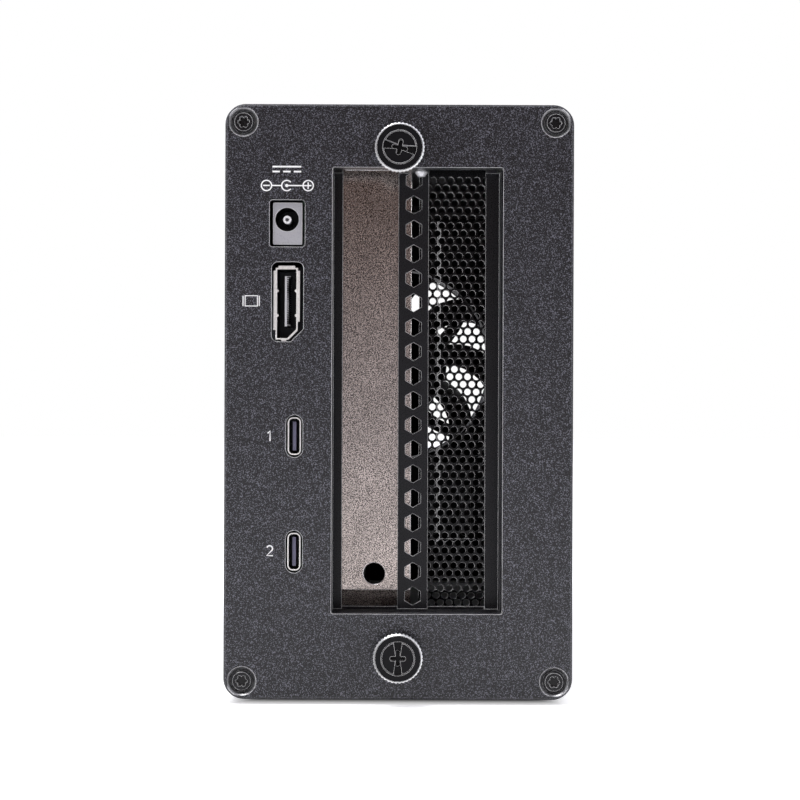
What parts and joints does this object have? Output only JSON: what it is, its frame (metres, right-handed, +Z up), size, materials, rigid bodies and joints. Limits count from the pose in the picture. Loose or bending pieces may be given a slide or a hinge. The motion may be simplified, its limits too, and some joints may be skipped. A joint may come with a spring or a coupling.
{
  "type": "pcie expansion chassis",
  "caption": "Small upright metal case that holds two expansion card slots on a slide-out tray, with a fan at the front and power, display and data sockets at the rear.",
  "frame": {"origin": "centre of the footprint, on the surface that the feet stand on", "axes": "+Z up; the rear panel with the slots and sockets faces -Y; the tray slides out to +Y"},
  "size_m": [0.085, 0.234, 0.1462],
  "materials": {
    "case_black": "fine textured black powder coat",
    "black_screw": "black zinc",
    "thumb_metal": "black head with a bright knurled rim",
    "spring_steel": "plain",
    "bright_screw": "nickel plated",
    "frame_black": "satin black",
    "bare_cover": "bare, fine grain",
    "vented_black": "semi-gloss black",
    "clear_guide": "clear",
    "fan_plastic": "moulded black",
    "bearing_bronze": "sintered",
    "motor_copper": "enamelled copper",
    "magnet": "plain",
    "circuit_board": "solder mask",
    "spacer_brass": "turned",
    "socket_grey": "grey",
    "shell_metal": "nickel plated",
    "black_plastic": "moulded black",
    "tongue_grey": "moulded grey",
    "contact_strip": "row of plated contacts",
    "heat_sink": "black anodised",
    "can_metal": "bright can",
    "coil_grey": "pressed powder",
    "pale_plastic": "moulded natural",
    "lead_black": "sleeved",
    "foot_rubber": "matt"
  },
  "bodies": {
    "case": {"case_sleeve": "case_black", "rear_panel": "case_black", "rear_panel_screws": "black_screw", "foot_rear_left": "foot_rubber", "foot_rear_right": "foot_rubber", "foot_front_left": "foot_rubber", "foot_front_right": "foot_rubber"},
    "tray": {"tray_floor": "frame_black", "board_plate": "frame_black", "tray_rivets": "bright_screw", "slot_frame": "frame_black", "clinch_bushes": "bright_screw", "slot_cover_blank": "bare_cover", "slot_cover_vented": "vented_black", "slot_cover_screws": "bright_screw", "front_panel": "case_black", "front_panel_screws": "black_screw", "status_light": "clear_guide", "fan_frame": "fan_plastic", "fan_screws": "black_screw", "fan_bearing": "bearing_bronze", "fan_stator": "motor_copper", "main_board": "circuit_board", "board_spacers": "spacer_brass", "board_screws": "bright_screw", "dc_socket": "socket_grey", "dc_socket_pin": "bright_screw", "display_shell": "shell_metal", "display_tongue": "contact_strip", "usb_shell_upper": "shell_metal", "usb_tongue_upper": "tongue_grey", "usb_shell_lower": "shell_metal", "usb_tongue_lower": "tongue_grey", "controller_chip": "black_plastic", "heat_sink": "heat_sink", "capacitors": "can_metal", "coils": "coil_grey", "slot_board": "circuit_board", "slot_board_spacers": "spacer_brass", "slot_board_screws": "bright_screw", "card_slot": "black_plastic", "board_link": "pale_plastic", "fan_header": "pale_plastic", "fan_plug": "pale_plastic", "fan_lead": "lead_black", "lead_clip": "pale_plastic"},
    "rotor": {"fan_rotor": "fan_plastic", "fan_magnet": "magnet", "fan_shaft": "bright_screw"},
    "top_screw": {"thumbscrew_top": "thumb_metal", "thumbscrew_top_clip": "spring_steel"},
    "bottom_screw": {"thumbscrew_bottom": "thumb_metal", "thumbscrew_bottom_clip": "spring_steel"}
  },
  "joints": [
    {"name": "tray_slide", "type": "slide", "parent": "case", "child": "tray", "axis": [0, 1, 0], "range_m": [0, 0.2]},
    {"name": "fan_spin", "type": "hinge", "parent": "tray", "child": "rotor", "pos_m": [-0.0012, 0.104, 0.0869], "axis": [0, 1, 0], "continuous": true},
    {"name": "top_screw_turn", "type": "hinge", "parent": "case", "child": "top_screw", "pos_m": [0, -0.111, 0.135], "axis": [0, 1, 0], "continuous": true},
    {"name": "bottom_screw_turn", "type": "hinge", "parent": "case", "child": "bottom_screw", "pos_m": [0, -0.111, 0.012], "axis": [0, 1, 0], "continuous": true}
  ]
}
